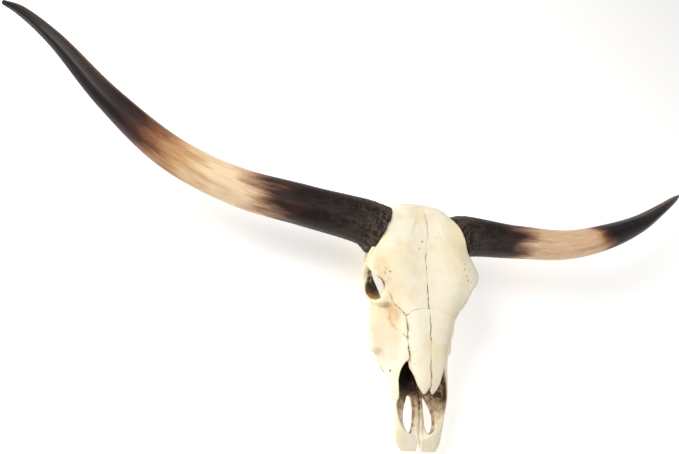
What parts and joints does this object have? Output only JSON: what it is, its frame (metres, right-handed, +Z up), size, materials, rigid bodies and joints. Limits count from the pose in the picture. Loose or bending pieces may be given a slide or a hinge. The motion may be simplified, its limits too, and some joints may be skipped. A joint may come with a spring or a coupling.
{
  "type": "longhorn steer skull",
  "caption": "Bleached longhorn steer skull without the lower jaw, lying face up on its molars and the bony processes behind them, with both long dark horn sheaths sweeping out to curved tips.",
  "frame": {"origin": "on the floor under the middle of the whole outline, horns included", "axes": "+Z up through the forehead as the skull lies face up, -Y towards the muzzle, +Y towards the poll, +X to the animal's left horn"},
  "size_m": [1.8216, 0.829, 0.2211],
  "materials": {
    "bone": "dry bleached bone, matt to faintly waxy",
    "horn": "natural keratin, semi-gloss, ivory bands before the dark tips"
  },
  "bodies": {
    "root": {"frontal_left": "bone", "frontal_right": "bone", "nasal_left": "bone", "nasal_right": "bone", "lacrimal_left": "bone", "lacrimal_right": "bone", "premaxilla_left": "bone", "premaxilla_right": "bone", "zygomatic_left": "bone", "zygomatic_right": "bone", "maxilla_left": "bone", "maxilla_right": "bone", "temporal_left": "bone", "temporal_right": "bone", "occipital": "bone", "sphenoid": "bone", "horn_left": "horn", "horn_right": "horn"}
  },
  "joints": []
}
